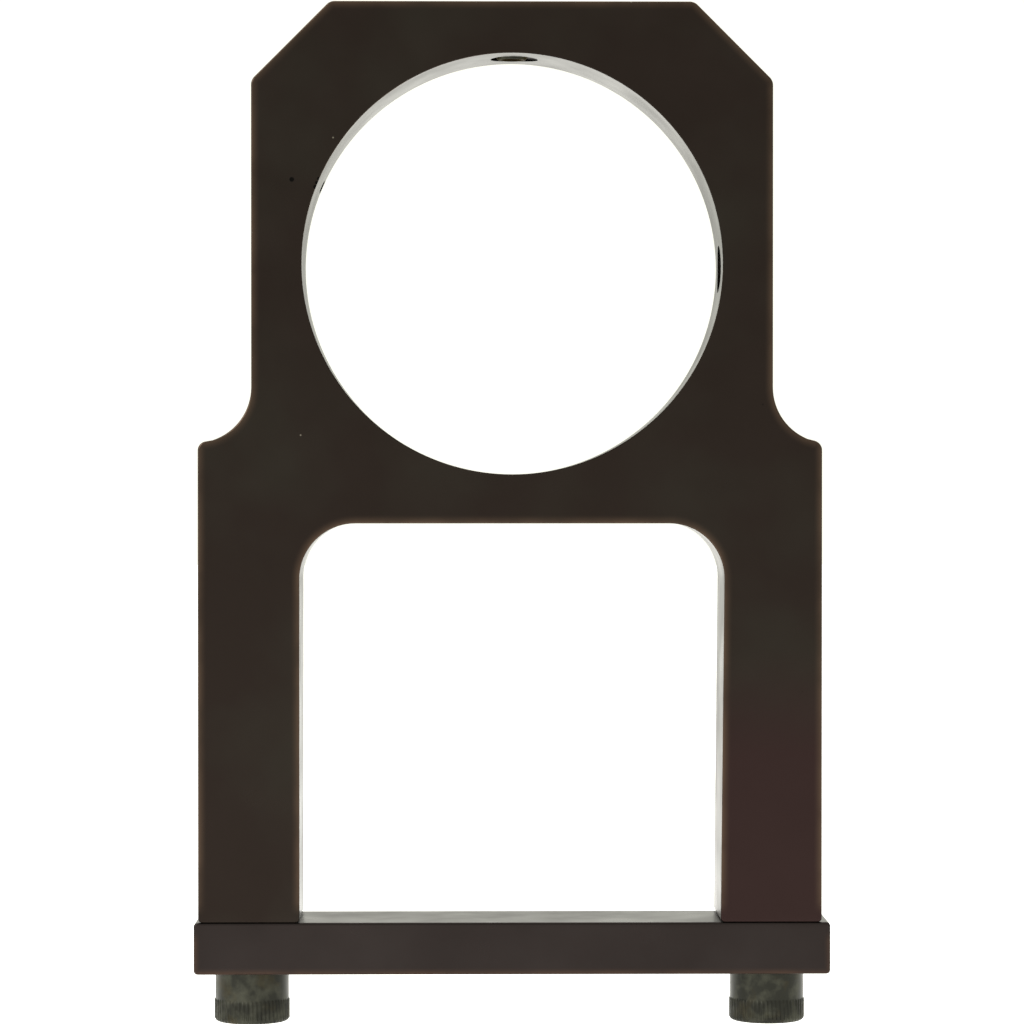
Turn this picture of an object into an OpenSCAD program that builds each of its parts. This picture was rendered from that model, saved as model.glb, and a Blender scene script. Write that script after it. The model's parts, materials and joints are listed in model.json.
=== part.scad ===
// Watch movement holder. An upright plate carries a large round bore, with two set screws to grip what stands
// in it. The plate stands on two legs, and a crossbar bolted up into the leg ends closes the gap between them,
// so that the holder clamps on a rail.
// Frame: origin on the bore's axis at mid-thickness, +X to the right, +Y to the rear, +Z up.

/* [Plate] */
// Thickness of the plate and depth of the crossbar, front to back
plate_t = 12.7; // [10:0.1:20]
// Width of the upper block, around the bore
upper_w = 63.5; // [60:0.5:70]
// Height from the bore's centre to the top edge
top_z = 31.9; // [31:0.1:36]
// Leg of the 45 degree chamfers on the two top corners
top_chamfer = 9.6; // [4:0.1:12]
// Distance from the bore's centre down to the shoulders
shoulder_z = 21.8; // [18:0.1:26]
// Radius of the concave fillets above the shoulders
shoulder_r = 6.8; // [6.8:0.1:9]
// Width over the two legs
lower_w = 76; // [74:0.5:78]
// How far the legs stand to the left of the bore's centre line
leg_shift = 0.25; // [0:0.05:0.5]
// Distance from the bore's centre down to the leg ends
leg_z = 80.2; // [70:0.1:95]

/* [Bore] */
// Diameter of the bore
bore_d = 51.24; // [45:0.01:52]

/* [Window] */
// Width of the window between the legs, at its ceiling
window_w = 51.8; // [44:0.1:53]
// Distance from the bore's centre down to the window's ceiling
window_z = 31.6; // [30:0.1:40]
// Radius of the window's two upper corners
window_r = 6.8; // [2:0.1:12]
// How far the right leg's inner face leans in at its foot
leg_lean = 0.5; // [0:0.1:1]

/* [Crossbar] */
// Length of the crossbar
bar_l = 77.6; // [75:0.1:84]
// Thickness of the crossbar
bar_t = 6.35; // [4:0.05:7]
// Diameter of the crossbar's two screw holes
bar_hole_d = 7.14; // [7:0.01:8]

/* [Cap screws] */
// Distance between the two cap screws
screw_pitch_x = 63.5; // [62:0.1:65]
// Thread diameter of the cap screws and set screws
thread_d = 6.35; // [5:0.01:6.35]
// Length of a cap screw under its head
shank_l = 19.05; // [12:0.05:20]
// Diameter of a cap screw's head
head_d = 9.27; // [9:0.01:10]
// Height of a cap screw's head
head_h = 6.35; // [5:0.05:7]
// Chamfer around the rim of the head
head_chamfer = 0.4; // [0.1:0.1:1]
// Width across the flats of the cap screw's hexagonal socket
head_socket = 4.76; // [4:0.01:5]
// Depth of the cap screw's socket
head_socket_h = 3.2; // [2:0.1:4]
// Depth of the tapped holes in the leg ends
leg_hole_h = 16; // [14:0.5:30]

/* [Set screws] */
// Length of a set screw
set_l = 4.76; // [4:0.01:5]
// Diameter of a set screw's point
set_point_d = 3.35; // [2:0.05:4]
// Width across the flats of the set screw's hexagonal socket
set_socket = 3.18; // [2.5:0.01:3.6]
// Depth of the set screw's socket
set_socket_h = 2.2; // [1:0.1:2.5]
// Depth of the cup in the set screw's point
set_cup_h = 0.6; // [0.2:0.1:0.8]
// How far the top set screw's point stays back from the bore's wall; below zero it stands out of it
top_set_back = -0.2; // [-0.6:0.1:1.2]
// How far the side set screw's point stays back from the bore's wall
side_set_back = 1.2; // [0:0.1:1.3]

/* [Hidden] */
$fn = 96;
thread_gap = 0.05;       // radial play of a screw in its tapped hole
cut = 1;                 // how far a cut runs past the face that it opens
drill_point = 118;       // angle of a drilled hole's conical end, in degrees
half_upper = upper_w / 2;
half_lower = lower_w / 2;
half_window = window_w / 2;
bore_r = bore_d / 2;
hole_r = thread_d / 2 + thread_gap;
point_drop = (thread_d - set_point_d) / 2;
black_anodised = "#2f2a26";
bar_anodised = "#37322e";
black_oxide = "#42443c";

// Lays a flat outline upright, its own Y axis pointing up, and gives it the plate's thickness
module upright() {
    rotate([90, 0, 0])
        linear_extrude(plate_t, center = true)
            children();
}

// The block around the bore, with both top corners cut off at 45 degrees
module upper_outline() {
    polygon([
        [-half_upper, -shoulder_z],
        [half_upper, -shoulder_z],
        [half_upper, top_z - top_chamfer],
        [half_upper - top_chamfer, top_z],
        [top_chamfer - half_upper, top_z],
        [-half_upper, top_z - top_chamfer],
    ]);
}

// The wider lower body, with the corner blocks that the shoulder fillets are cut from
module lower_outline() {
    translate([-leg_shift - half_lower, -leg_z])
        square([lower_w, leg_z - shoulder_z + shoulder_r]);
}

// One round cut on each side leaves a concave shoulder
module shoulder_cuts() {
    for (side = [-1, 1])
        translate([side * (half_upper + shoulder_r), shoulder_r - shoulder_z])
            circle(shoulder_r);
}

// The gap between the legs, open at the bottom, with two round upper corners
module window_outline() {
    polygon([
        [-half_window, -leg_z - cut],
        [half_window - leg_lean, -leg_z - cut],
        [half_window, -window_z - window_r],
        [half_window - window_r, -window_z],
        [window_r - half_window, -window_z],
        [-half_window, -window_z - window_r],
    ]);
    for (side = [-1, 1])
        translate([side * (half_window - window_r), -window_z - window_r])
            circle(window_r);
}

// Puts its children at both cap screws, on the leg ends
module at_legs() {
    for (side = [-1, 1])
        translate([side * screw_pitch_x / 2 - leg_shift, 0, -leg_z])
            children();
}

// A drilled and tapped blind hole that runs up from z = 0
module tapped_hole() {
    translate([0, 0, -cut])
        cylinder(r = hole_r, h = leg_hole_h + cut);
    translate([0, 0, leg_hole_h])
        cylinder(r1 = hole_r, r2 = 0, h = hole_r / tan(drill_point / 2));
}

// Turns its children, which lie along +Z from the bore's axis, to point up or to the right
module radial(side) {
    rotate([0, side ? 90 : 0, 0])
        children();
}

// A tapped hole from inside the bore out through the plate's edge
module radial_hole(side) {
    radial(side)
        translate([0, 0, bore_r / 2])
            cylinder(r = hole_r, h = top_z + cut - bore_r / 2);
}

module upright_plate() {
    color(black_anodised)
        difference() {
            upright()
                difference() {
                    union() {
                        upper_outline();
                        difference() {
                            lower_outline();
                            shoulder_cuts();
                        }
                    }
                    window_outline();
                }
            rotate([90, 0, 0])
                cylinder(r = bore_r, h = plate_t + 2 * cut, center = true, $fn = 180);
            radial_hole(false);
            radial_hole(true);
            at_legs()
                tapped_hole();
        }
}

module clamp_bar() {
    color(bar_anodised)
        difference() {
            translate([-bar_l / 2, -plate_t / 2, -leg_z - bar_t])
                cube([bar_l, plate_t, bar_t]);
            for (side = [-1, 1])
                translate([side * screw_pitch_x / 2, 0, -leg_z - bar_t - cut])
                    cylinder(d = bar_hole_d, h = bar_t + 2 * cut);
        }
}

// A hexagonal socket of a given width across its flats, cut upwards from z = 0
module hex_socket(width, depth) {
    translate([0, 0, -cut])
        cylinder(d = width / cos(30), h = depth + cut, $fn = 6);
}

// A socket head cap screw: its head hangs below z = 0 and its shank stands above
module cap_screw() {
    color(black_oxide)
        difference() {
            union() {
                cylinder(d = thread_d, h = shank_l);
                translate([0, 0, head_chamfer - head_h])
                    cylinder(d = head_d, h = head_h - head_chamfer);
                translate([0, 0, -head_h])
                    cylinder(r1 = head_d / 2 - head_chamfer, r2 = head_d / 2, h = head_chamfer);
            }
            translate([0, 0, -head_h])
                hex_socket(head_socket, head_socket_h);
        }
}

module left_cap_screw() {
    translate([-screw_pitch_x / 2 - leg_shift, 0, -leg_z - bar_t])
        cap_screw();
}

module right_cap_screw() {
    translate([screw_pitch_x / 2 - leg_shift, 0, -leg_z - bar_t])
        cap_screw();
}

// A cup point set screw along +Z, its point at z = 0 and its socket at the far end
module set_screw() {
    color(black_oxide)
        difference() {
            union() {
                cylinder(d1 = set_point_d, d2 = thread_d, h = point_drop);
                translate([0, 0, point_drop])
                    cylinder(d = thread_d, h = set_l - point_drop);
            }
            translate([0, 0, -cut])
                cylinder(r1 = set_point_d / 2 + cut * set_point_d / 2 / set_cup_h, r2 = 0, h = set_cup_h + cut);
            translate([0, 0, set_l])
                mirror([0, 0, 1])
                    hex_socket(set_socket, set_socket_h);
        }
}

module top_set_screw() {
    radial(false)
        translate([0, 0, bore_r + top_set_back])
            set_screw();
}

module side_set_screw() {
    radial(true)
        translate([0, 0, bore_r + side_set_back])
            set_screw();
}

upright_plate();
clamp_bar();
left_cap_screw();
right_cap_screw();
top_set_screw();
side_set_screw();
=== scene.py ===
"""Watch movement holder: detailed pieces, their finishes and a plain studio stage, around the CAD frame."""

import json
import math

import bmesh
import bpy
from bpy.props import FloatProperty, FloatVectorProperty, IntProperty, PointerProperty
from mathutils import Matrix, Vector


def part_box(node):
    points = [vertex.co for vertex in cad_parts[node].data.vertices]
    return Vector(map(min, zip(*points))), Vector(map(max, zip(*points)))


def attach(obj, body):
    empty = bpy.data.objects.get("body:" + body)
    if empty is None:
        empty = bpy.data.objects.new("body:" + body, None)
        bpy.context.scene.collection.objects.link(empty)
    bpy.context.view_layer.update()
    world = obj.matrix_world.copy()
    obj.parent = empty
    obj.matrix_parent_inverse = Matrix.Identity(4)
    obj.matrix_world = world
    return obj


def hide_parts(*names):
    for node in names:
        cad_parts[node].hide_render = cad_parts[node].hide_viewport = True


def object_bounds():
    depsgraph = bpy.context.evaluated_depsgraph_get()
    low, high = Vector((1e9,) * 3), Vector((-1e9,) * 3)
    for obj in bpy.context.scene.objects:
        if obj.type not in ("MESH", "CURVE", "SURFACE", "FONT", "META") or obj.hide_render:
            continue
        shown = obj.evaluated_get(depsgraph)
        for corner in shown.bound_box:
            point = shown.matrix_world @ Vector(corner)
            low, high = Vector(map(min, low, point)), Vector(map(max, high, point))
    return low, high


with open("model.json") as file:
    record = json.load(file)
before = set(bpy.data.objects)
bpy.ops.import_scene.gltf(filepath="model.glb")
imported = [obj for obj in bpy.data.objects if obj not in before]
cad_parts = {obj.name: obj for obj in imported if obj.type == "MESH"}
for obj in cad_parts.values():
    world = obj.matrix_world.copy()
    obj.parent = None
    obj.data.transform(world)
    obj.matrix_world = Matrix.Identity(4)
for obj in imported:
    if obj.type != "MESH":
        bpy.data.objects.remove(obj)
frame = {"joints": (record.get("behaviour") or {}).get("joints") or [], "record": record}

bl_info = {
    "name": "Watch movement holder",
    "version": (1, 0, 0),
    "blender": (4, 5, 0),
    "location": "View3D > Sidebar > Holder",
    "description": "Builds the pieces and finishes of a clamp-on watch movement holder",
    "category": "Add Mesh",
}

MM = 0.001
CAD_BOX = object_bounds()
PLATE_LOW, PLATE_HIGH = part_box("upright_plate")
BAR_LOW, BAR_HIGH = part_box("clamp_bar")
SCREW_LOW, SCREW_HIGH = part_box("left_cap_screw")
TOP_SET_LOW, TOP_SET_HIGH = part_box("top_set_screw")
SIDE_SET_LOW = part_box("side_set_screw")[0]
BORE_RADIUS = next(m["dims"]["r_mm"] for m in frame["record"]["mounts"] if m["kind"] == "bore") * MM
BAR_TRAVEL = next(j["range_m"][1] for j in frame["joints"] if j["child"] == "clamp_bar")
SCREW_SEATS = {j["child"]: Vector(j["pos_m"]) for j in frame["joints"] if j["type"] == "hinge"}

THREAD_STEPS = 48          # facets in each turn of a thread
THREAD_FLANK = math.radians(30)
THREAD_CREST_DROP = 0.02 * MM   # a rolled crest stands this far inside the nominal diameter
TAP_GAP = 0.05 * MM        # play between a screw and its tapped hole
DRILL_POINT = math.radians(118)
BORE_STEPS = 180
FILLET_STEPS = 20
SHOULDER_STEPS = 6
CORNER_STEPS = 4
RIM_STEPS = 3
HAIR_LESS = 0.999          # keeps a fillet's end off the corner next to it
SHOULDER_ROUNDING = 1.8    # the shoulders' outer corners are this much rounder than the others
END_SHARE = 0.97           # a thread's ends are turned down to just inside its root
CHIP_CORE = 0.7            # share of a chip's radius that is fully black
WELD = 1e-6
MARGIN = 1 * MM            # how far a cutter runs past the face that it opens
SHARP_EDGE = math.radians(35)
# the rims' mask for rubbed browner dye and a painted edge sheen
WEAR_AND_SHEEN = "edge_wear_and_sheen"
JOINT_HEIGHT = BAR_HIGH.z  # where the legs stand on the crossbar
RED_CENTRE = Vector((33.67, 0, -72)) * MM     # the reddish patch low on the right leg
RED_REACH = Vector((33.33, 1000, 25)) * MM    # where it has faded to nothing, each way
MIX_FACTOR, MIX_FIRST, MIX_SECOND, MIX_RESULT = 0, 6, 7, 2   # the sockets of a Mix node set to colour


def linear(hex_colour):
    """An sRGB hex colour as the linear red, green and blue that Blender works in."""
    parts = [int(hex_colour[i:i + 2], 16) / 255 for i in (1, 3, 5)]
    return tuple(c / 12.92 if c <= 0.04045 else ((c + 0.055) / 1.055) ** 2.4 for c in parts)


PINHOLE = linear("#161311")
DUST = linear("#6b655c")
CHIP_BLACK = linear("#0b0a09")
RUST_FILM = linear("#3a3425")
DRY_RIM = linear("#a09c94")
FLOOR_CLOUD = linear("#fefefd")


def length(name, description, millimetres):
    """A length setting, given in millimetres."""
    return FloatProperty(name=name, description=description, default=millimetres * MM,
                         min=0, precision=5, unit="LENGTH")


def colour(name, description, hex_colour):
    """A colour setting, given as an sRGB hex colour."""
    return FloatVectorProperty(name=name, description=description, default=linear(hex_colour),
                               size=3, min=0, max=1, subtype="COLOR")


class PlateSettings(bpy.types.PropertyGroup):
    """Sizes and colours of the upright plate"""
    upper_width: length("Upper width", "Width of the block around the bore", 63.5)
    chamfer: length("Chamfer", "Leg of the 45 degree chamfers on the top corners", 9.6)
    shoulder_drop: length("Shoulder drop", "From the bore's centre down to the shoulders", 21.8)
    fillet: length("Fillet", "Radius of the shoulders and of the window's upper corners", 6.8)
    window_width: length("Window width", "Width between the legs at the window's ceiling", 51.8)
    window_drop: length("Window drop", "From the bore's centre down to the window's ceiling", 31.6)
    leg_lean: length("Leg lean", "How far the right leg's inner face leans in at its foot", 0.5)
    corner: length("Corner", "Radius of the outline's small outer corners", 0.5)
    edge_break: length("Edge break", "Radius that takes the sharpness off the rims", 0.2)
    # this band carries rubbed dye and a painted edge sheen, the pale reflection of the rounded rims
    wear_and_sheen_band: length("Worn band", "How far the worn dye reaches in from the outer rims", 1.1)
    hole_depth: length("Hole depth", "Depth of the tapped holes in the leg ends", 16.0)
    face: colour("Face", "Dyed anodised face", "#251f1c")
    cloud: colour("Cloud", "Lighter clouds in the dye", "#282420")
    # rubbed browner dye, with a painted edge sheen mixed into the same colour
    worn_and_sheen: colour("Worn", "Browner dye along the rims", "#4a3c32")
    red: colour("Red", "Reddish dye low on the right leg", "#2b201f")


class BarSettings(bpy.types.PropertyGroup):
    """Sizes and colours of the crossbar"""
    hole_width: length("Hole width", "Diameter of the two clearance holes", 7.14)
    hole_spacing: length("Hole spacing", "Distance between the two clearance holes", 63.5)
    corner: length("Corner", "Radius of the long edges' corners", 0.5)
    edge_break: length("Edge break", "Radius that takes the sharpness off the rims", 0.35)
    # this band carries rubbed dye and a painted edge sheen, the pale reflection of the rounded rims
    wear_and_sheen_band: length("Worn band", "How far the worn dye reaches in from the rims", 0.9)
    face: colour("Face", "Dyed anodised face", "#282322")
    cloud: colour("Cloud", "Lighter clouds in the dye", "#2c2726")
    # rubbed reddish brown dye, with a painted edge sheen mixed into the same colour
    worn_and_sheen: colour("Worn", "Reddish brown along the rims", "#44342b")


class ScrewSettings(bpy.types.PropertyGroup):
    """Sizes and colours of the cap screws and the set screws"""
    thread_width: length("Thread width", "Nominal diameter of all four screws", 6.35)
    root_width: length("Root width", "Diameter at the bottom of the thread", 4.88)
    tapped_width: length("Tapped width", "Diameter inside the ridges of a tapped hole", 5.2)
    pitch: length("Pitch", "Distance between two turns of the thread", 1.27)
    head_height: length("Head height", "Height of a cap screw's head", 6.35)
    head_width: length("Head width", "Diameter over the knurl", 9.27)
    neck_width: length("Neck width", "Diameter of the head's plain upper part", 9.06)
    plain_height: length("Plain height", "Height of the head's plain upper part", 3.55)
    rim: length("Rim", "Chamfer around the head's outer end", 0.4)
    knurl_depth: length("Knurl depth", "Depth of the knurl's grooves", 0.11)
    knurl_teeth: IntProperty(name="Knurl teeth", description="Number of teeth round the head",
                             default=54, min=12)
    cap_socket: length("Cap socket", "Width across the flats of a cap screw's socket", 4.76)
    cap_socket_depth: length("Cap socket depth", "Depth of a cap screw's socket", 3.2)
    point_width: length("Point width", "Diameter of a set screw's cup point", 3.35)
    cup_depth: length("Cup depth", "Depth of the cup in a set screw's point", 0.6)
    set_socket: length("Set socket", "Width across the flats of a set screw's socket", 3.18)
    set_socket_depth: length("Set socket depth", "Depth of a set screw's socket", 2.2)
    oxide: colour("Oxide", "Black oxide on the steel", "#2b2b27")
    smudge: colour("Smudge", "Paler, oilier patches of the oxide", "#43433b")


class StageSettings(bpy.types.PropertyGroup):
    """The camera, the surroundings and the floor"""
    camera_place: FloatVectorProperty(name="Camera place", description="Where the camera stands",
                                      default=(-6.41 * MM, -462.35 * MM, -26.35 * MM),
                                      size=3, subtype="TRANSLATION")
    camera_yaw: FloatProperty(name="Camera yaw", description="How far the camera turns to the right",
                              default=math.radians(0.80), subtype="ANGLE")
    camera_pitch: FloatProperty(name="Camera pitch", description="How far the camera tips down",
                                default=math.radians(0.484), subtype="ANGLE")
    lens: FloatProperty(name="Lens", description="Focal length", default=131.8, unit="CAMERA")
    surroundings: FloatProperty(name="Surroundings", description="Brightness of the white surroundings",
                                default=1.125, min=0)
    tint: FloatVectorProperty(name="Tint", description="Slight warmth of the white surroundings",
                              default=(1.0, 1.0, 0.9), size=3, min=0, max=1, subtype="COLOR")
    floor_size: length("Floor size", "Side of the floor", 6000)
    floor: colour("Floor", "Pale floor", "#fbfaf9")


# ---- shapes ----

def thread(crest, root, bottom, top, pitch, gap=0.0):
    """A right-hand thread round +Z from bottom to top, its phase fixed by z = 0. gap widens each flank."""
    middle = (crest + root) / 2
    def half_width(radius):
        return pitch / 4 - (radius - middle) * math.tan(THREAD_FLANK) + gap
    start = (math.floor(bottom / pitch) - 1) * pitch
    turns = math.ceil((top - start) / pitch) + 1
    outline = [
        (root, -half_width(root)),
        (crest, -half_width(crest)),
        (crest, half_width(crest)),
        (root, half_width(root)),
        (root, pitch - half_width(root)),
    ]
    bm = bmesh.new()
    verts = [bm.verts.new((radius, 0, start + z)) for radius, z in outline]
    edges = [bm.edges.new(pair) for pair in zip(verts, verts[1:])]
    bmesh.ops.spin(bm, geom=verts + edges, cent=(0, 0, 0), axis=(0, 0, 1), angle=math.tau * turns,
                   steps=THREAD_STEPS * turns, dvec=(0, 0, pitch / THREAD_STEPS), use_merge=False)
    bmesh.ops.remove_doubles(bm, verts=bm.verts[:], dist=WELD)
    for height, outward in ((bottom, -1), (top, 1)):
        everything = bm.verts[:] + bm.edges[:] + bm.faces[:]
        bmesh.ops.bisect_plane(bm, geom=everything, plane_co=(0, 0, height),
                               plane_no=(0, 0, outward), clear_outer=True)
    return bm


def turn_down(bm, height, radius):
    """Turns the end at that height down to a radius, with a 45 degree chamfer behind it."""
    for vert in bm.verts:
        allowed = radius + abs(vert.co.z - height)
        if vert.co.xy.length > allowed:
            vert.co.xy *= allowed / vert.co.xy.length


def close_ends(bm):
    """Fills the open ends and points every face outwards."""
    bmesh.ops.holes_fill(bm, edges=[e for e in bm.edges if e.is_boundary], sides=0)
    bmesh.ops.recalc_face_normals(bm, faces=bm.faces[:])
    return bm


def lathe(outline, steps):
    """Spins an outline of (radius, height) points, which starts and ends on the axis, round +Z."""
    bm = bmesh.new()
    verts = [bm.verts.new((radius, 0, height)) for radius, height in outline]
    edges = [bm.edges.new(pair) for pair in zip(verts, verts[1:])]
    bmesh.ops.spin(bm, geom=verts + edges, cent=(0, 0, 0), axis=(0, 0, 1), angle=math.tau,
                   steps=steps, use_merge=True)
    bmesh.ops.remove_doubles(bm, verts=bm.verts[:], dist=WELD)
    bmesh.ops.recalc_face_normals(bm, faces=bm.faces[:])
    return bm


def hole_cutter(radius, low, high, flare, steps):
    """A round cutter along +Z from low to high that flares out by flare at both faces, to break the rims."""
    return lathe([
        (0, low - MARGIN),
        (radius + flare + MARGIN, low - MARGIN),
        (radius, low + flare),
        (radius, high - flare),
        (radius + flare + MARGIN, high + MARGIN),
        (0, high + MARGIN),
    ], steps)


def hexagon(width, depth):
    """A hexagonal cutter of a given width across its flats, from z = -depth to past z = 0."""
    bm = bmesh.new()
    radius = width / 2 / math.cos(math.radians(30))
    bmesh.ops.create_cone(bm, cap_ends=True, segments=6, radius1=radius, radius2=radius,
                          depth=depth + MARGIN)
    bmesh.ops.translate(bm, verts=bm.verts[:], vec=(0, 0, (MARGIN - depth) / 2))
    return bm


def mouth(width):
    """A shallow cone that eases the mouth of a hexagonal socket at z = 0."""
    radius = width / 2 / math.cos(math.radians(30)) + 0.05 * MM
    return lathe([(0, -radius), (radius + MARGIN, MARGIN), (0, MARGIN)], THREAD_STEPS)


def make_object(name, bm, place=None):
    """An object from a bmesh, with its place turned into its mesh."""
    if place is not None:
        bmesh.ops.transform(bm, matrix=place, verts=bm.verts[:])
    mesh = bpy.data.meshes.new(name)
    bm.to_mesh(mesh)
    bm.free()
    made = bpy.data.objects.new(name, mesh)
    bpy.context.scene.collection.objects.link(made)
    return made


def machine(piece, operation, shapes, place=None):
    """Cuts each shape from a piece, or joins it on, and keeps only the finished mesh."""
    tools = [make_object("tool", shape, place) for shape in shapes]
    for tool in tools:
        step = piece.modifiers.new("machine", "BOOLEAN")
        step.operation = operation
        step.solver = "EXACT"
        step.object = tool
    graph = bpy.context.evaluated_depsgraph_get()
    finished = bpy.data.meshes.new_from_object(piece.evaluated_get(graph))
    piece.modifiers.clear()
    bm = bmesh.new()
    bm.from_mesh(finished)
    bmesh.ops.remove_doubles(bm, verts=bm.verts[:], dist=WELD)
    bm.to_mesh(finished)
    bm.free()
    rough = piece.data
    piece.data = finished
    bpy.data.meshes.remove(rough)
    for tool in tools:
        bpy.data.meshes.remove(tool.data)
    return piece


def finish_piece(piece, name, material, body):
    """Names, shades and finishes a piece, and sets it in the frame in place of its CAD node."""
    piece.name = name
    piece.data.name = name
    piece.data.shade_smooth()
    piece.data.set_sharp_from_angle(angle=SHARP_EDGE)
    piece.data.materials.clear()
    piece.data.materials.append(material)
    weighted = piece.modifiers.new("flat faces stay flat", "WEIGHTED_NORMAL")
    weighted.keep_sharp = True
    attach(piece, body)
    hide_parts(body)


# ---- finishes ----

def add_node(tree, kind, settings=None, values=None, links=None):
    """Adds a node with its own settings, its sockets' values and the sockets that feed it."""
    made = tree.nodes.new(kind)
    for key, value in (settings or {}).items():
        setattr(made, key, value)
    for key, value in (values or {}).items():
        made.inputs[key].default_value = value
    for key, source in (links or {}).items():
        tree.links.new(source, made.inputs[key])
    return made


def per_metre(millimetres):
    """The noise scale whose features are about this many millimetres across."""
    return 1 / (millimetres * MM)


def new_material(name):
    """An empty node material, its object coordinates and its shader."""
    material = bpy.data.materials.new(name)
    material.use_nodes = True
    tree = material.node_tree
    tree.nodes.clear()
    spot = add_node(tree, "ShaderNodeTexCoord").outputs["Object"]
    shader = add_node(tree, "ShaderNodeBsdfPrincipled")
    add_node(tree, "ShaderNodeOutputMaterial", links={"Surface": shader.outputs["BSDF"]})
    return material, tree, spot, shader


def mixed(tree, factor, first, second):
    """One colour over another. Each is a colour value or a socket."""
    node = add_node(tree, "ShaderNodeMix", {"data_type": "RGBA"})
    for index, value in ((MIX_FACTOR, factor), (MIX_FIRST, first), (MIX_SECOND, second)):
        if isinstance(value, bpy.types.NodeSocket):
            tree.links.new(value, node.inputs[index])
        else:
            node.inputs[index].default_value = value if index == MIX_FACTOR else (*value, 1)
    return node.outputs[MIX_RESULT]


def calculated(tree, operation, first, second=0.0):
    """A sum over two values. Each is a number or a socket."""
    node = add_node(tree, "ShaderNodeMath", {"operation": operation})
    for socket, value in zip(node.inputs, (first, second)):
        if isinstance(value, bpy.types.NodeSocket):
            tree.links.new(value, socket)
        else:
            socket.default_value = value
    return node.outputs["Value"]


def ranged(tree, source, low, high, to_low=0.0, to_high=1.0):
    """A value's range from low to high, spread over another range and held at its ends."""
    return add_node(tree, "ShaderNodeMapRange",
                    values={"From Min": low, "From Max": high, "To Min": to_low, "To Max": to_high},
                    links={"Value": source}).outputs["Result"]


def noise(tree, spot, millimetres, detail=3.0):
    """Soft noise whose features are about this many millimetres across."""
    return add_node(tree, "ShaderNodeTexNoise",
                    values={"Scale": per_metre(millimetres), "Detail": detail},
                    links={"Vector": spot}).outputs["Fac"]


def anodised_aluminium(name, face, cloud, worn_and_sheen, band, red=None, marks=()):
    """Black dyed anodised aluminium, etched before dyeing: a dark satin metal skin that turns pale only
    where it is seen along the surface. The dye is a little uneven, and the rims are painted browner and
    paler: partly dye rubbed by handling, partly a painted edge sheen, the pale reflection of the rounded
    rims."""
    material, tree, spot, shader = new_material(name)
    clouds = ranged(tree, noise(tree, spot, 16), 0.42, 0.68)
    colour_here = mixed(tree, clouds, face, cloud)
    if red is not None:
        # the dye took redder low on the right leg, in one soft patch about 50 mm tall
        scale = Vector([1 / reach for reach in RED_REACH])
        patch = add_node(tree, "ShaderNodeMapping",
                         values={"Location": -RED_CENTRE * scale, "Scale": scale},
                         links={"Vector": spot})
        glow = add_node(tree, "ShaderNodeTexGradient", {"gradient_type": "SPHERICAL"},
                        links={"Vector": patch.outputs["Vector"]})
        colour_here = mixed(tree, ranged(tree, glow.outputs["Fac"], 0, 0.5), colour_here, red)
    # rubbed dye and a painted edge sheen follow the rims, but both are held off within a millimetre or two
    # of the joint
    rim = add_node(tree, "ShaderNodeAttribute", {"attribute_name": WEAR_AND_SHEEN}).outputs["Fac"]
    axes = add_node(tree, "ShaderNodeSeparateXYZ", links={"Vector": spot}).outputs
    from_joint = calculated(tree, "ABSOLUTE", calculated(tree, "SUBTRACT", axes["Z"], JOINT_HEIGHT))
    off_joint = ranged(tree, from_joint, 1 * MM, 2.5 * MM)
    # on the walls it fades with depth, as it does across the faces, and patches of about 5 mm break it up
    depth = calculated(tree, "ABSOLUTE", axes["Y"])
    near_face = ranged(tree, depth, PLATE_HIGH.y - band, PLATE_HIGH.y)
    rim = calculated(tree, "MULTIPLY", rim, near_face)
    patchy = ranged(tree, noise(tree, spot, 5), 0.3, 0.6, 0.5, 1.0)
    fading = calculated(tree, "POWER", rim, 1.7)
    wear_and_sheen = calculated(tree, "MULTIPLY", calculated(tree, "MULTIPLY", fading, patchy), off_joint)
    colour_here = mixed(tree, wear_and_sheen, colour_here, worn_and_sheen)
    # dust and pinholes: cells of 5 mm, many with a pale or dark speck about 0.2 mm across
    cells = add_node(tree, "ShaderNodeTexVoronoi", values={"Scale": per_metre(5)}, links={"Vector": spot})
    speck = ranged(tree, cells.outputs["Distance"], 0.026, 0.014)
    kind = add_node(tree, "ShaderNodeSeparateColor", links={"Color": cells.outputs["Color"]})
    pale_or_dark = mixed(tree, ranged(tree, kind.outputs["Red"], 0.6, 0.62), PINHOLE, DUST)
    colour_here = mixed(tree, speck, colour_here, pale_or_dark)
    tree.links.new(colour_here, shader.inputs["Base Color"])
    shader.inputs["Metallic"].default_value = 1.0
    # the chips are painted black and dull, so that they stay dark from every angle. The level is the same
    # all over, because it doesn't change bare metal.
    shader.inputs["Specular IOR Level"].default_value = 0.0
    clean = 1.0   # 0 in a chip
    for place, radius in marks:
        away = add_node(tree, "ShaderNodeVectorMath", {"operation": "DISTANCE"}, {1: place}, {0: spot})
        outside = ranged(tree, away.outputs["Value"], radius * CHIP_CORE, radius)
        clean = calculated(tree, "MULTIPLY", clean, outside)
    rough = ranged(tree, noise(tree, spot, 7), 0.3, 0.7, 0.27, 0.37)
    if marks:
        tree.links.new(mixed(tree, clean, CHIP_BLACK, colour_here), shader.inputs["Base Color"])
        tree.links.new(clean, shader.inputs["Metallic"])
        rough = calculated(tree, "MAXIMUM", rough, calculated(tree, "SUBTRACT", 1.0, clean))
    tree.links.new(rough, shader.inputs["Roughness"])
    # the etch is about 0.05 mm, drawn at 0.22 mm so that it shows
    grain = noise(tree, spot, 0.22, detail=2)
    bump = add_node(tree, "ShaderNodeBump", values={"Strength": 0.25, "Distance": 0.006 * MM},
                    links={"Height": grain})
    tree.links.new(bump.outputs["Normal"], shader.inputs["Normal"])
    return material


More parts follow.
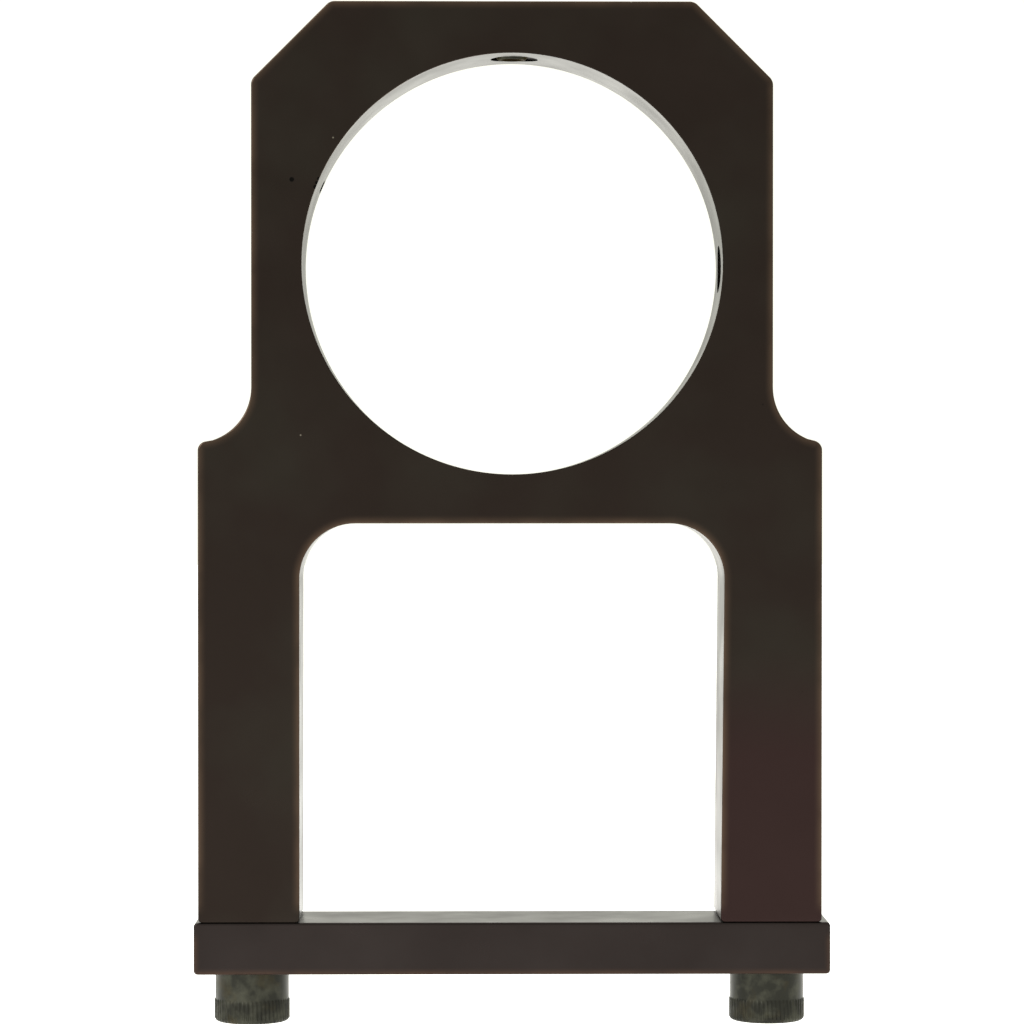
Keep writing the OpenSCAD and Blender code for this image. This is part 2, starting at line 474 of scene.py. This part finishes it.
def black_oxide_steel(name, oxide, smudge, rim_tint=(1, 1, 1)):
    """Black oxide on alloy steel, oiled or dry: a mottled dark grey, a little warm and green, with a dull
    broad gloss. rim_tint is how much light it returns where it is seen along the surface."""
    material, tree, spot, shader = new_material(name)
    mottle = ranged(tree, noise(tree, spot, 1.6, detail=5), 0.45, 0.72)
    colour_here = mixed(tree, mottle, oxide, smudge)
    # rust-brown film in a few patches of about 3 mm
    film = ranged(tree, noise(tree, spot, 3), 0.56, 0.72, 0, 0.55)
    colour_here = mixed(tree, film, colour_here, RUST_FILM)
    tree.links.new(colour_here, shader.inputs["Base Color"])
    shader.inputs["Metallic"].default_value = 1.0
    shader.inputs["Specular Tint"].default_value = (*rim_tint, 1)
    tree.links.new(ranged(tree, mottle, 0, 1, 0.38, 0.52), shader.inputs["Roughness"])
    # heat-treated steel has a fine scale of about 0.1 mm, drawn at 0.3 mm so that it shows
    bump = add_node(tree, "ShaderNodeBump", values={"Strength": 0.35, "Distance": 0.01 * MM},
                    links={"Height": noise(tree, spot, 0.3)})
    tree.links.new(bump.outputs["Normal"], shader.inputs["Normal"])
    return material


def lit_acrylic(name, shade):
    """An opal acrylic light table: an even pale ground, lit from under so that shadows on it stay faint."""
    material, tree, spot, shader = new_material(name)
    clouds = ranged(tree, noise(tree, spot, 180), 0.3, 0.7)
    tree.links.new(mixed(tree, clouds, shade, FLOOR_CLOUD), shader.inputs["Base Color"])
    shader.inputs["Roughness"].default_value = 0.6
    shader.inputs["Emission Color"].default_value = (1, 1, 0.98, 1)
    shader.inputs["Emission Strength"].default_value = 0.45
    return material


# ---- pieces ----

def edges_along_y(bm):
    """The edges that run front to back."""
    return [e for e in bm.edges if abs((e.verts[0].co - e.verts[1].co).normalized().y) > 0.99]


def round_corners(bm, corners, radius, segments):
    """Rounds the front-to-back edges that stand at those (x, z) corners."""
    wanted = [e for e in edges_along_y(bm)
              if any((Vector((e.verts[0].co.x, e.verts[0].co.z)) - Vector(c)).length < WELD * 10
                     for c in corners)]
    bmesh.ops.bevel(bm, geom=wanted, offset=radius, offset_type="OFFSET", affect="EDGES",
                    segments=segments, profile=0.5, material=-1, clamp_overlap=True)
    # a leftover edge of no length would hold every later bevel to no width
    bmesh.ops.remove_doubles(bm, verts=bm.verts[:], dist=WELD * 5)


def is_flat(face):
    """Whether a face lies in the flat front or back."""
    return abs(face.normal.y) > 0.999


def mark_wear_and_sheen(bm, band):
    """Marks the outer rims for rubbed dye and a painted edge sheen, fading to nothing a band's width in
    from them. It is done while the corners are still sharp, so that the band doesn't fold over in them."""
    wear_and_sheen = bm.verts.layers.float.new(WEAR_AND_SHEEN)
    for vert in bm.verts:
        vert[wear_and_sheen] = 1
    bm.normal_update()
    flats = [face for face in bm.faces if is_flat(face)]
    bmesh.ops.inset_region(bm, faces=flats, thickness=band, use_even_offset=True, use_boundary=True)
    for face in flats:
        for vert in face.verts:
            vert[wear_and_sheen] = 0


def break_rims(bm, radius):
    """Rounds the front and back rims."""
    bm.normal_update()
    rims = [e for e in bm.edges if sum(is_flat(face) for face in e.link_faces) == 1]
    bmesh.ops.bevel(bm, geom=rims, offset=radius, offset_type="OFFSET", affect="EDGES",
                    segments=RIM_STEPS, profile=0.5, material=-1, clamp_overlap=True)


def plate_blank(settings):
    """The plate's outline as a solid, before its holes are cut."""
    half_upper = settings.upper_width / 2
    half_window = settings.window_width / 2
    top, foot = PLATE_HIGH.z, PLATE_LOW.z
    left, right = PLATE_LOW.x, PLATE_HIGH.x
    shoulder, ceiling = -settings.shoulder_drop, -settings.window_drop
    wide = half_upper + settings.fillet   # the shoulders are rounded at full width, then trimmed
    right_inner = half_window - settings.leg_lean
    outline = [
        (-wide, foot), (-half_window, foot), (-half_window, ceiling), (half_window, ceiling),
        (right_inner, foot), (wide, foot), (wide, shoulder), (half_upper, shoulder),
        (half_upper, top - settings.chamfer), (half_upper - settings.chamfer, top),
        (settings.chamfer - half_upper, top), (-half_upper, top - settings.chamfer),
        (-half_upper, shoulder), (-wide, shoulder),
    ]
    bm = bmesh.new()
    front = bm.faces.new([bm.verts.new((x, PLATE_LOW.y, z)) for x, z in outline])
    made = bmesh.ops.extrude_face_region(bm, geom=[front])
    moved = [v for v in made["geom"] if isinstance(v, bmesh.types.BMVert)]
    bmesh.ops.translate(bm, verts=moved, vec=(0, PLATE_HIGH.y - PLATE_LOW.y, 0))
    bmesh.ops.recalc_face_normals(bm, faces=bm.faces[:])
    round_corners(bm, [(-half_window, ceiling), (half_window, ceiling)], settings.fillet, FILLET_STEPS)
    round_corners(bm, [(-half_upper, shoulder), (half_upper, shoulder)], settings.fillet * HAIR_LESS,
                  FILLET_STEPS)
    for x, outward in ((left, -1), (right, 1)):
        bmesh.ops.bisect_plane(bm, geom=bm.verts[:] + bm.edges[:] + bm.faces[:], plane_co=(x, 0, 0),
                               plane_no=(outward, 0, 0), clear_outer=True)
        bmesh.ops.holes_fill(bm, edges=[e for e in bm.edges if e.is_boundary], sides=0)
    bmesh.ops.recalc_face_normals(bm, faces=bm.faces[:])
    small = [(half_upper, top - settings.chamfer), (half_upper - settings.chamfer, top),
             (settings.chamfer - half_upper, top), (-half_upper, top - settings.chamfer),
             (left, foot), (-half_window, foot), (right_inner, foot), (right, foot)]
    trimmed = {(v.co.x, v.co.z) for v in bm.verts
               if min(abs(v.co.x - left), abs(v.co.x - right)) < WELD and v.co.z > ceiling}
    clear = settings.corner * 3   # the fillet's last facets make room for the rounded corner
    for x, z in trimmed:
        for y in (PLATE_LOW.y, PLATE_HIGH.y):
            near = [v for v in bm.verts if (v.co - Vector((x, y, z))).length < clear]
            bmesh.ops.pointmerge(bm, verts=near, merge_co=(x, y, z))
    mark_wear_and_sheen(bm, settings.wear_and_sheen_band)
    round_corners(bm, small, settings.corner, CORNER_STEPS)
    round_corners(bm, trimmed, settings.corner * SHOULDER_ROUNDING, SHOULDER_STEPS)
    break_rims(bm, settings.edge_break)
    return bm


def screw_place(seat):
    """A cap screw's place: its head hangs below the seat and its shank stands above."""
    return Matrix.Translation(seat)


def top_set_place():
    """The top set screw's place: its point looks down into the bore."""
    return Matrix.Translation((0, 0, TOP_SET_LOW.z))


def side_set_place():
    """The side set screw's place: its point looks left into the bore."""
    return Matrix.Translation((SIDE_SET_LOW.x, 0, 0)) @ Matrix.Rotation(math.radians(90), 4, "Y")


class HOLDER_OT_upright_plate(bpy.types.Operator):
    """Build the upright plate: outline, bore, and four tapped holes"""
    bl_idname = "holder.upright_plate"
    bl_label = "Upright plate"

    def execute(self, context):
        settings = context.scene.holder_plate
        screws = context.scene.holder_screws
        tap = screws.thread_width / 2 + TAP_GAP
        ridge = screws.tapped_width / 2
        piece = make_object("upright_plate_blank", plate_blank(settings))
        bore = hole_cutter(BORE_RADIUS, PLATE_LOW.y, PLATE_HIGH.y, settings.edge_break / 2, BORE_STEPS)
        machine(piece, "DIFFERENCE", [bore], Matrix.Rotation(math.radians(90), 4, "X"))
        inner = BORE_RADIUS / 2
        for place, edge, point in ((top_set_place(), PLATE_HIGH.z, TOP_SET_LOW.z),
                                   (side_set_place(), settings.upper_width / 2, SIDE_SET_LOW.x)):
            tapped = close_ends(thread(tap, ridge, inner - point, edge - point + MARGIN,
                                       screws.pitch, TAP_GAP))
            rim = lathe([(0, edge - point - tap), (tap + 2 * MARGIN, edge - point + 2 * MARGIN),
                         (0, edge - point + 2 * MARGIN)], THREAD_STEPS)
            machine(piece, "DIFFERENCE", [tapped, rim], place)
        drilled = ridge - TAP_GAP
        for seat in SCREW_SEATS.values():
            low = PLATE_LOW.z - seat.z
            end = low + settings.hole_depth
            tapped = close_ends(thread(tap, ridge, low - MARGIN, end - screws.pitch,
                                       screws.pitch, TAP_GAP))
            drill = lathe([(0, low - 2 * MARGIN), (drilled, low - 2 * MARGIN), (drilled, end),
                           (0, end + drilled / math.tan(DRILL_POINT / 2))], THREAD_STEPS)
            rim = lathe([(0, low - 2 * MARGIN), (tap + 2 * MARGIN, low - 2 * MARGIN),
                         (0, low + tap)], THREAD_STEPS)
            machine(piece, "DIFFERENCE", [tapped, drill, rim], screw_place(seat))
        # three chips left of the bore: deep in its rear rim, drawn out along its front rim, and in the face
        marks = [((-23.5 * MM, 5.8 * MM, 10.2 * MM), 1.0 * MM),
                 ((-23.5 * MM, 4.3 * MM, 10.1 * MM), 0.9 * MM),
                 ((-23.95 * MM, PLATE_LOW.y, 9.3 * MM), 0.3 * MM),
                 ((-23.74 * MM, PLATE_LOW.y, 9.8 * MM), 0.28 * MM),
                 ((-23.53 * MM, PLATE_LOW.y, 10.3 * MM), 0.25 * MM),
                 ((-26.8 * MM, PLATE_LOW.y, 10.2 * MM), 0.35 * MM)]
        material = anodised_aluminium("black_dyed_anodised_plate", settings.face, settings.cloud,
                                      settings.worn_and_sheen, settings.wear_and_sheen_band, settings.red, marks)
        finish_piece(piece, "upright_plate_detailed", material, "upright_plate")
        return {"FINISHED"}


class HOLDER_OT_clamp_bar(bpy.types.Operator):
    """Build the crossbar with its two clearance holes"""
    bl_idname = "holder.clamp_bar"
    bl_label = "Clamp bar"

    def execute(self, context):
        settings = context.scene.holder_bar
        bm = bmesh.new()
        bmesh.ops.create_cube(bm, size=1)
        bmesh.ops.scale(bm, verts=bm.verts[:], vec=BAR_HIGH - BAR_LOW)
        bmesh.ops.translate(bm, verts=bm.verts[:], vec=(BAR_HIGH + BAR_LOW) / 2)
        mark_wear_and_sheen(bm, settings.wear_and_sheen_band)
        bmesh.ops.bevel(bm, geom=edges_along_y(bm), offset=settings.corner, offset_type="OFFSET",
                        affect="EDGES", segments=CORNER_STEPS, profile=0.5, material=-1,
                        clamp_overlap=True)
        break_rims(bm, settings.edge_break)
        piece = make_object("clamp_bar_blank", bm)
        for side in (-1, 1):
            hole = hole_cutter(settings.hole_width / 2, BAR_LOW.z, BAR_HIGH.z, settings.edge_break,
                               THREAD_STEPS)
            place = Matrix.Translation((side * settings.hole_spacing / 2, 0, 0))
            machine(piece, "DIFFERENCE", [hole], place)
        material = anodised_aluminium("black_dyed_anodised_bar", settings.face, settings.cloud,
                                      settings.worn_and_sheen, settings.wear_and_sheen_band)
        finish_piece(piece, "clamp_bar_detailed", material, "clamp_bar")
        return {"FINISHED"}


def knurl(bm, settings):
    """Presses straight grooves into the lower part of a cap screw's head."""
    low = settings.rim - settings.head_height
    for vert in bm.verts:
        on_skin = vert.co.xy.length > settings.head_width / 2 - WELD
        groove = math.cos(settings.knurl_teeth * math.atan2(vert.co.y, vert.co.x)) < 0
        if on_skin and groove and vert.co.z > low - WELD:
            vert.co.xy *= 1 - settings.knurl_depth / vert.co.xy.length


def cap_screw(settings):
    """A socket head cap screw whose head hangs below z = 0."""
    head, neck = settings.head_width / 2, settings.neck_width / 2
    foot = -settings.head_height
    edge = 0.15 * MM
    bm = lathe([
        (0, 0), (neck - edge, 0), (neck, -edge), (neck, edge - settings.plain_height),
        (neck, -settings.plain_height),
        (head, -settings.plain_height - edge), (head, foot + settings.rim + edge),
        (head, foot + settings.rim), (head - settings.rim * 0.45, foot + settings.rim * 0.3),
        (head - settings.rim, foot), (0, foot),
    ], settings.knurl_teeth * 4)
    knurl(bm, settings)
    piece = make_object("cap_screw_blank", bm)
    root = settings.root_width / 2
    length_up = SCREW_HIGH.z - SCREW_LOW.z - settings.head_height
    shank = thread(settings.thread_width / 2 - THREAD_CREST_DROP, root, -MARGIN, length_up, settings.pitch)
    turn_down(shank, length_up, root * END_SHARE)
    machine(piece, "UNION", [close_ends(shank)])
    flip = Matrix.Translation((0, 0, foot)) @ Matrix.Rotation(math.pi, 4, "X")
    sockets = [hexagon(settings.cap_socket, settings.cap_socket_depth), mouth(settings.cap_socket)]
    return machine(piece, "DIFFERENCE", sockets, flip)


class HOLDER_OT_cap_screws(bpy.types.Operator):
    """Build the two knurled socket head cap screws"""
    bl_idname = "holder.cap_screws"
    bl_label = "Cap screws"

    def execute(self, context):
        settings = context.scene.holder_screws
        material = black_oxide_steel("oiled_black_oxide_cap_screw", settings.oxide, settings.smudge)
        for body, seat in SCREW_SEATS.items():
            piece = cap_screw(settings)
            piece.data.transform(screw_place(seat))
            finish_piece(piece, body + "_detailed", material, body)
        return {"FINISHED"}


def set_screw(settings, overall):
    """A cup point set screw along +Z, its point at z = 0 and its socket at the far end."""
    root = settings.root_width / 2
    crest = settings.thread_width / 2 - THREAD_CREST_DROP
    bm = thread(crest, root, 0, overall, settings.pitch)
    turn_down(bm, 0, settings.point_width / 2)
    turn_down(bm, overall, root * END_SHARE)
    piece = make_object("set_screw_blank", close_ends(bm))
    rim = 0.25 * MM
    cup = settings.point_width / 2 - rim
    hollow = lathe([(0, -MARGIN), (cup + MARGIN * cup / settings.cup_depth, -MARGIN),
                    (0, settings.cup_depth)], THREAD_STEPS)
    machine(piece, "DIFFERENCE", [hollow])
    sockets = [hexagon(settings.set_socket, settings.set_socket_depth), mouth(settings.set_socket)]
    return machine(piece, "DIFFERENCE", sockets, Matrix.Translation((0, 0, overall)))


class HOLDER_OT_set_screws(bpy.types.Operator):
    """Build the two cup point set screws that grip what stands in the bore"""
    bl_idname = "holder.set_screws"
    bl_label = "Set screws"

    def execute(self, context):
        settings = context.scene.holder_screws
        material = black_oxide_steel("dry_black_oxide_set_screw", settings.oxide, settings.smudge, DRY_RIM)
        overall = TOP_SET_HIGH.z - TOP_SET_LOW.z
        for body, place in (("top_set_screw", top_set_place()), ("side_set_screw", side_set_place())):
            piece = set_screw(settings, overall)
            piece.data.transform(place)
            finish_piece(piece, body + "_detailed", material, body)
        return {"FINISHED"}


class HOLDER_OT_stage(bpy.types.Operator):
    """Build the floor, the lights, the surroundings and the camera"""
    bl_idname = "holder.stage"
    bl_label = "Stage"

    def execute(self, context):
        settings = context.scene.holder_stage
        scene = context.scene
        bm = bmesh.new()
        bmesh.ops.create_grid(bm, x_segments=1, y_segments=1, size=settings.floor_size / 2)
        # the heads reach down to the floor when the crossbar is let down
        floor = make_object("floor", bm, Matrix.Translation((0, 0, CAD_BOX[0].z - BAR_TRAVEL)))
        floor.data.materials.append(lit_acrylic("lit_opal_acrylic", settings.floor))
        world = bpy.data.worlds.new("white surroundings")
        world.use_nodes = True
        world.node_tree.nodes["Background"].inputs["Color"].default_value = (*settings.tint, 1)
        world.node_tree.nodes["Background"].inputs["Strength"].default_value = settings.surroundings
        scene.world = world
        for name, place, size, power in (("key light", (-0.55, -0.45, 0.35), 0.35, 4.0),
                                         ("overhead light", (0.1, 0.3, 0.9), 0.8, 6.0)):
            lamp = bpy.data.lights.new(name, "AREA")
            lamp.size = size
            lamp.energy = power
            holder = bpy.data.objects.new(name, lamp)
            holder.location = place
            holder.rotation_mode = "QUATERNION"
            holder.rotation_quaternion = (-Vector(place)).to_track_quat("-Z", "Y")
            scene.collection.objects.link(holder)
        lens = bpy.data.cameras.new("camera")
        lens.lens = settings.lens
        lens.sensor_width = 36
        lens.clip_start = 10 * MM
        camera = bpy.data.objects.new("camera", lens)
        camera.location = settings.camera_place
        camera.rotation_euler = (math.radians(90) - settings.camera_pitch, 0, -settings.camera_yaw)
        scene.collection.objects.link(camera)
        scene.camera = camera
        scene.view_settings.view_transform = "Standard"
        return {"FINISHED"}


class HOLDER_PT_panel(bpy.types.Panel):
    """Lists the holder's pieces"""
    bl_idname = "HOLDER_PT_panel"
    bl_label = "Watch movement holder"
    bl_space_type = "VIEW_3D"
    bl_region_type = "UI"
    bl_category = "Holder"

    def draw(self, context):
        for operator in OPERATORS:
            self.layout.operator(operator.bl_idname)


OPERATORS = (HOLDER_OT_stage, HOLDER_OT_upright_plate, HOLDER_OT_clamp_bar, HOLDER_OT_cap_screws,
             HOLDER_OT_set_screws)
GROUPS = {"holder_plate": PlateSettings, "holder_bar": BarSettings, "holder_screws": ScrewSettings,
          "holder_stage": StageSettings}


def register():
    for cls in (*GROUPS.values(), *OPERATORS, HOLDER_PT_panel):
        bpy.utils.register_class(cls)
    for name, group in GROUPS.items():
        setattr(bpy.types.Scene, name, PointerProperty(type=group))


def unregister():
    for name in GROUPS:
        delattr(bpy.types.Scene, name)
    for cls in reversed((*GROUPS.values(), *OPERATORS, HOLDER_PT_panel)):
        bpy.utils.unregister_class(cls)


def main():
    """Registers everything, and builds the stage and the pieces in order."""
    register()
    bpy.ops.holder.stage()
    bpy.ops.holder.upright_plate()
    bpy.ops.holder.clamp_bar()
    bpy.ops.holder.cap_screws()
    bpy.ops.holder.set_screws()


if __name__ == "__main__":
    main()
